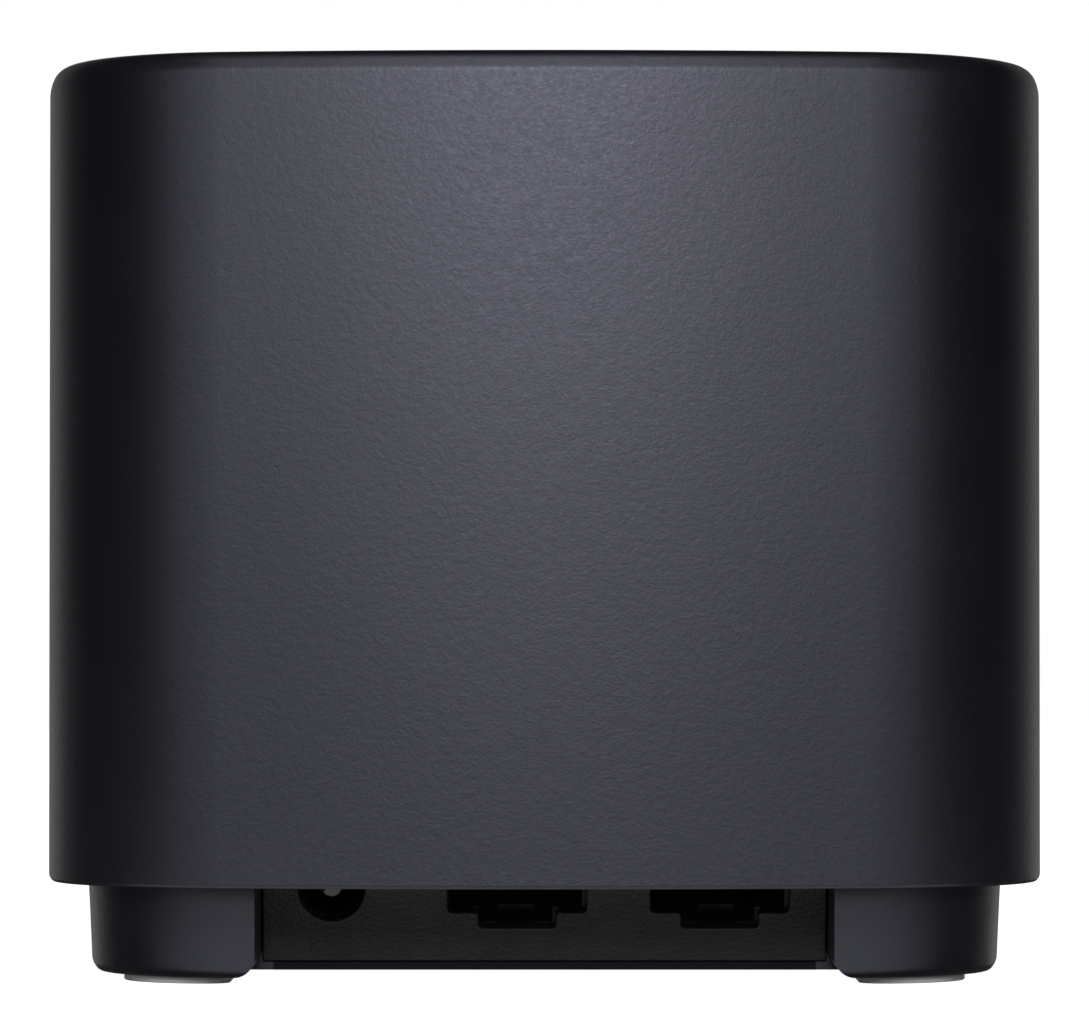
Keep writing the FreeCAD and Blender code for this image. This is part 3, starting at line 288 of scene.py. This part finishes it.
def leather_plastic(name, dark, light, roughness, cell, depth):
    """Near-black plastic with a coarse, leather-like moulded texture."""
    material, tree, shader = new_material(name, dark, roughness)
    where = object_coordinates(tree)
    mottle_color(tree, shader, where, 4 * MM, dark, light)
    cells = cell_texture(tree, where, cell)
    fine = noise_texture(tree, where, 0.4 * cell)
    under = add_bump(tree, shader, cells, depth)
    add_bump(tree, shader, fine, 0.35 * depth, under)
    shader.inputs["Specular IOR Level"].default_value = 0.5
    return material


def plain_metal(name, color, roughness, streak):
    """Metal with fine streaks, drawn out along the axes whose streak value is small."""
    material, tree, shader = new_material(name, color, roughness, metallic=1.0)
    where = object_coordinates(tree)
    stretch = tree.nodes.new("ShaderNodeMapping")
    stretch.inputs["Scale"].default_value = streak
    tree.links.new(where, stretch.inputs["Vector"])
    lines = noise_texture(tree, stretch.outputs["Vector"], 0.25 * MM)
    uneven = to_range(tree, lines, 0.7 * roughness, 1.3 * roughness)
    tree.links.new(uneven, shader.inputs["Roughness"])
    add_bump(tree, shader, lines, 0.004 * MM)
    return material


def board_material():
    """Green solder mask over faint copper tracks."""
    green = (0.012, 0.085, 0.035)
    material, tree, shader = new_material("green_board", green, 0.35)
    where = object_coordinates(tree)
    tracks = tree.nodes.new("ShaderNodeTexBrick")
    tracks.inputs["Scale"].default_value = 260
    tracks.inputs["Mortar Size"].default_value = 0.035
    tracks.inputs["Color1"].default_value = (*green, 1)
    tracks.inputs["Color2"].default_value = (0.010, 0.070, 0.030, 1)
    tracks.inputs["Mortar"].default_value = (0.022, 0.14, 0.06, 1)
    tree.links.new(where, tracks.inputs["Vector"])
    tree.links.new(tracks.outputs["Color"], shader.inputs["Base Color"])
    add_bump(tree, shader, tracks.outputs["Fac"], 0.02 * MM)
    return material


def clear_plastic(name, color, roughness):
    """Faintly clouded clear plastic for the light pipe."""
    material, tree, shader = new_material(name, color, roughness)
    shader.inputs["Transmission Weight"].default_value = 0.8
    shader.inputs["IOR"].default_value = 1.49
    cloud = noise_texture(tree, object_coordinates(tree), 1.5 * MM)
    tree.links.new(to_range(tree, cloud, roughness, roughness + 0.08), shader.inputs["Roughness"])
    return material


def foot_rubber():
    """Light grey silicone, slightly translucent, with a fine matt skin."""
    material, tree, shader = new_material("foot_rubber", (0.88, 0.88, 0.90), 0.5)
    where = object_coordinates(tree)
    mottle_color(tree, shader, where, 2.5 * MM, (0.85, 0.85, 0.87), (0.90, 0.90, 0.92))
    shader.inputs["Subsurface Weight"].default_value = 0.35
    shader.inputs["Subsurface Radius"].default_value = (0.8 * MM, 0.8 * MM, 0.9 * MM)
    shader.inputs["Subsurface Scale"].default_value = 1.0
    add_bump(tree, shader, noise_texture(tree, where, 0.2 * MM), 0.01 * MM)
    return material


# slot: (dark colour, light colour, roughness, grain in mm, grain depth in mm)
PLASTICS = {
    "label_film": ((0.16, 0.16, 0.165), (0.19, 0.19, 0.195), 0.5, 0.15, 0.002),
    "key_plastic": ((0.011, 0.011, 0.013), (0.014, 0.014, 0.016), 0.42, 0.2, 0.006),
    "black_resin": ((0.012, 0.012, 0.012), (0.017, 0.017, 0.017), 0.55, 0.15, 0.006),
    "plunger_plastic": ((0.35, 0.03, 0.02), (0.42, 0.04, 0.025), 0.4, 0.2, 0.004),
    "white_nylon": ((0.62, 0.62, 0.59), (0.70, 0.70, 0.67), 0.45, 0.3, 0.004),
    "ferrite": ((0.03, 0.03, 0.033), (0.045, 0.045, 0.05), 0.75, 0.3, 0.02),
    "jack_plastic": ((0.011, 0.011, 0.0115), (0.016, 0.016, 0.0165), 0.45, 0.25, 0.006),
    "cable_jacket": ((0.008, 0.008, 0.008), (0.012, 0.012, 0.012), 0.35, 0.4, 0.004),
}

# slot: (colour, roughness, streak fineness along x, y and z)
METALS = {
    "zinc_steel": ((0.60, 0.60, 0.62), 0.32, (1, 1, 1)),
    "cast_aluminium": ((0.75, 0.75, 0.77), 0.38, (1, 12, 1)),
    "tinned_steel": ((0.68, 0.68, 0.70), 0.3, (8, 1, 1)),
    "can_aluminium": ((0.72, 0.72, 0.75), 0.28, (1, 1, 10)),
    "gold_contact": ((0.80, 0.58, 0.22), 0.22, (1, 6, 1)),
    "nickel_pin": ((0.66, 0.65, 0.63), 0.10, (1, 8, 1)),
}

MATERIALS = {
    "shell_plastic": casing_plastic("shell_plastic"),
    "base_plastic": casing_plastic("base_plastic"),
    "panel_plastic": leather_plastic("panel_plastic", dark=(0.022, 0.022, 0.023),
                                     light=(0.031, 0.031, 0.032), roughness=0.45,
                                     cell=0.30 * MM, depth=0.04 * MM),
    "foot_rubber": foot_rubber(),
    "green_board": board_material(),
    "thermal_rubber": satin_plastic("thermal_rubber", dark=(0.16, 0.24, 0.40),
                                    light=(0.19, 0.27, 0.43), roughness=0.7,
                                    grain=0.4 * MM, depth=0.02 * MM, specular=0.3),
    "clear_pipe": clear_plastic("clear_pipe", color=(0.90, 0.93, 0.95), roughness=0.2),
}
for slot_name, (dark, light, roughness, grain, depth) in PLASTICS.items():
    MATERIALS[slot_name] = satin_plastic(slot_name, dark, light, roughness, grain * MM, depth * MM)
for slot_name, (color, roughness, streak) in METALS.items():
    MATERIALS[slot_name] = plain_metal(slot_name, color, roughness, streak)


def dress_frame():
    """Gives every CAD node the material of its slot."""
    for entry in frame["record"]["subparts"]:
        data = NODES[entry["node"]].data
        data.materials.clear()
        data.materials.append(MATERIALS[entry["material_slot"]])


def finish_piece(item, slot):
    item.data.materials.clear()
    item.data.materials.append(MATERIALS[slot])


# ------------------------------------------------------------ the cover

def cover_profile():
    """(inset, height) stations up the outside, over the top edge, and down the inside."""
    outside = []
    for across, up in quarter_arc(LIP_ROUND, SMALL_ARC_STEPS, 270, 180):
        outside.append((LIP_ROUND + across, COVER_BOTTOM + LIP_ROUND + up))
    low = COVER_BOTTOM + LIP_ROUND
    high = HEIGHT - TOP_ROUND
    for row in range(1, SIDE_ROWS):
        outside.append((0, low + (high - low) * row / SIDE_ROWS))
    for across, up in quarter_arc(TOP_ROUND, TOP_ARC_STEPS, 180, 90):
        outside.append((TOP_ROUND + across, high + up))
    inside = []
    ceiling = HEIGHT - WALL
    for across, up in quarter_arc(INNER_ROUND, SMALL_ARC_STEPS, 90, 180):
        inside.append((WALL + INNER_ROUND + across, ceiling - INNER_ROUND + up))
    inside.append((WALL, (COVER_BOTTOM + ceiling) / 2))
    inside.append((WALL, COVER_BOTTOM))
    return outside, inside


def plan_ring(bm, inset, level, scale=1):
    return [bm.verts.new((x * scale, y * scale, level)) for x, y in plan_outline(inset)]


def cap_rings(bm, inset, level, count):
    """Shrinking copies of the plan at one level, ready to be closed by a middle face."""
    return [plan_ring(bm, inset, level, 1 - step / (count + MIDDLE_FACE))
            for step in range(1, count + 1)]


def window_cutter():
    """A round bar through the front wall, in line with the light pipe."""
    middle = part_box("light_pipe")[1].z - PIPE_RADIUS
    turn = Matrix.Translation((0, -HALF, middle)) @ Matrix.Rotation(math.pi / 2, 4, "X")
    bm = bmesh.new()
    bmesh.ops.create_cone(bm, cap_ends=True, segments=WINDOW_STEPS, radius1=WINDOW_RADIUS,
                          radius2=WINDOW_RADIUS, depth=4 * WALL, matrix=turn)
    return mesh_from("window_tool", bm)


def make_cover():
    outside, inside = cover_profile()
    bm = bmesh.new()
    rings = [plan_ring(bm, inset, level) for inset, level in outside]
    rings += cap_rings(bm, TOP_ROUND, HEIGHT, TOP_RINGS)
    bridge_rings(bm, rings, close_last=True)
    ceiling = cap_rings(bm, WALL + INNER_ROUND, HEIGHT - WALL, CEILING_RINGS)
    ceiling.reverse()
    inner = [plan_ring(bm, inset, level) for inset, level in inside]
    bridge_rings(bm, ceiling + inner, close_first=True)
    bridge_rings(bm, [inner[-1], rings[0]])
    bmesh.ops.recalc_face_normals(bm, faces=bm.faces)
    cover = mesh_from("cover", bm)
    tool = window_cutter()
    cut = cover.modifiers.new("window", "BOOLEAN")
    cut.object = tool
    cut.operation = "DIFFERENCE"
    cut.solver = "EXACT"
    apply_modifiers(cover)
    bpy.data.objects.remove(tool)
    smooth(cover, COVER_SHARP_ANGLE)
    weigh_normals(cover, COVER_NORMAL_WEIGHT)
    finish_piece(cover, "shell_plastic")
    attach(cover, "root")
    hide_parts("top_shell")


# ------------------------------------------------------------ CAD shapes with rounded edges

# node: (piece, width of the rounded edges in mm, slot)
REFINED = {
    "base_housing": ("base", 0.25, "base_plastic"),
    "port_panel": ("panel", 0.10, "panel_plastic"),
    "rj45_housing_wan": ("socket_wan", 0.12, "jack_plastic"),
    "rj45_housing_lan": ("socket_lan", 0.12, "jack_plastic"),
    "power_jack_housing": ("power_socket", 0.15, "jack_plastic"),
    "pair_button": ("pair_key", 0.12, "key_plastic"),
    "foot_pad_rear_left": ("pad_rear_left", 0.05, "foot_rubber"),
    "foot_pad_rear_right": ("pad_rear_right", 0.05, "foot_rubber"),
    "foot_pad_front_left": ("pad_front_left", 0.05, "foot_rubber"),
    "foot_pad_front_right": ("pad_front_right", 0.05, "foot_rubber"),
    "power_jack_pin": ("socket_pin", 0.05, "nickel_pin"),
    "light_pipe": ("light_window", 0.10, "clear_pipe"),
    "rating_label": ("label", 0.03, "label_film"),
}


def refined(node, piece_name, bevel):
    """A piece with the CAD node's shape, cleaned up, with its sharp edges rounded by bevel."""
    mesh = NODES[node].data.copy()
    item = new_object(piece_name, mesh)
    bm = bmesh.new()
    bm.from_mesh(mesh)
    bmesh.ops.remove_doubles(bm, verts=bm.verts, dist=MERGE_DISTANCE)
    bmesh.ops.dissolve_limit(bm, angle_limit=math.radians(FLAT_ANGLE), verts=bm.verts,
                             edges=bm.edges, use_dissolve_boundaries=False, delimit=set())
    bm.to_mesh(mesh)
    bm.free()
    if mesh.attributes.get("custom_normal"):
        mesh.attributes.remove(mesh.attributes["custom_normal"])
    rounding = item.modifiers.new("rounding", "BEVEL")
    rounding.width = bevel
    rounding.segments = BEVEL_SEGMENTS
    rounding.limit_method = "ANGLE"
    rounding.angle_limit = math.radians(BEVEL_ANGLE)
    rounding.miter_outer = "MITER_ARC"
    rounding.use_clamp_overlap = True
    apply_modifiers(item)
    smooth(item, PIECE_SHARP_ANGLE)
    weigh_normals(item, PIECE_NORMAL_WEIGHT)
    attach(item, node_body(node))
    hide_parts(node)
    return item


def make_refined_pieces():
    for node, (piece_name, bevel, slot) in REFINED.items():
        finish_piece(refined(node, piece_name, bevel * MM), slot)


# ------------------------------------------------------------ stage, light and camera

WHITE = (1, 1, 1, 1)

MIDDLE = (0, 0, 0.04)

# (name, place, target, width, height, power in watts)
LIGHTS = (
    ("wide_high", (0, 0.65, 0.20), MIDDLE, 1.33, 0.25, 1.55),
    ("wide_low", (0, 0.65, 0.13), MIDDLE, 1.5, 0.18, 0.42),
    ("key", (0, 0.6, 0.20), (0, 0, 0.05), 0.12, 0.10, 0.95),
    ("overhead", (0, 0.36, 0.55), MIDDLE, 0.24, 0.62, 1.4),
    ("behind", (0, -1.2, 0.3), MIDDLE, 2.0, 1.0, 0.83),
    ("behind_wide", (0, -1.0, 0.2), MIDDLE, 3.4, 0.8, 1.08),
    ("floor_bounce", (0, 0, 0.0002), (0, 0, 1), 3.0, 3.0, 2.0),
    ("floor_glow", (0, 0.12, 0.0004), (0, 0.12, 1), 0.22, 0.15, 0.015),
    ("floor_near", (0, 0.050, 0.0004), (0, 0.050, 1), 0.10, 0.020, 0.0044),
    ("rim_left", (-0.6, -0.9, 0.1), MIDDLE, 0.5, 0.5, 0.12),
    ("rim_right", (0.6, -0.9, 0.1), MIDDLE, 0.5, 0.5, 0.12),
)

CAMERA_PLACE = (0, 0.5504, 0.0302)
CAMERA_TILT = 0.0197  # radians above level
SENSOR_WIDTH = 36
LENS = 196.78


def make_stage():
    """A pale floor that shows white to the camera and isn't seen in the node's gloss."""
    bm = bmesh.new()
    bmesh.ops.create_grid(bm, x_segments=4, y_segments=4, size=3.0)
    floor = mesh_from("floor", bm)
    material, _, shader = new_material("pale_floor", (0.86, 0.86, 0.86), 0.6)
    shader.inputs["Emission Color"].default_value = WHITE
    shader.inputs["Emission Strength"].default_value = 1.0
    floor.data.materials.append(material)
    floor.visible_glossy = False
    floor.visible_diffuse = False


def soft_light(name, place, target, width, height, power):
    light = bpy.data.lights.new(name, "AREA")
    light.shape = "RECTANGLE"
    light.size = width
    light.size_y = height
    light.energy = power
    item = new_object(name, light)
    item.location = place
    toward = Vector(target) - item.location
    item.rotation_euler = toward.to_track_quat("-Z", "Y").to_euler()
    item.visible_camera = False


def make_world():
    """White where the camera sees it, and no light on the node."""
    world = bpy.data.worlds.new("studio")
    world.use_nodes = True
    tree = world.node_tree
    dark = tree.nodes["Background"]
    dark.inputs["Strength"].default_value = 0.0
    white = tree.nodes.new("ShaderNodeBackground")
    white.inputs["Color"].default_value = WHITE
    white.inputs["Strength"].default_value = 1.0
    path = tree.nodes.new("ShaderNodeLightPath")
    either = tree.nodes.new("ShaderNodeMixShader")
    tree.links.new(path.outputs["Is Camera Ray"], either.inputs["Fac"])
    tree.links.new(dark.outputs["Background"], either.inputs[1])
    tree.links.new(white.outputs["Background"], either.inputs[2])
    tree.links.new(either.outputs["Shader"], tree.nodes["World Output"].inputs["Surface"])
    bpy.context.scene.world = world


def make_camera():
    """Behind the node, a little below its middle, looking slightly up."""
    data = bpy.data.cameras.new("camera")
    data.sensor_fit = "HORIZONTAL"
    data.sensor_width = SENSOR_WIDTH
    data.lens = LENS
    data.clip_start = 0.01
    data.clip_end = 20
    camera = new_object("camera", data)
    camera.location = CAMERA_PLACE
    camera.rotation_euler = (math.pi / 2 + CAMERA_TILT, 0, math.pi)
    bpy.context.scene.camera = camera


dress_frame()
make_cover()
make_refined_pieces()
make_stage()
for light_row in LIGHTS:
    soft_light(*light_row)
make_world()
make_camera()
bpy.context.scene.view_settings.view_transform = "Standard"
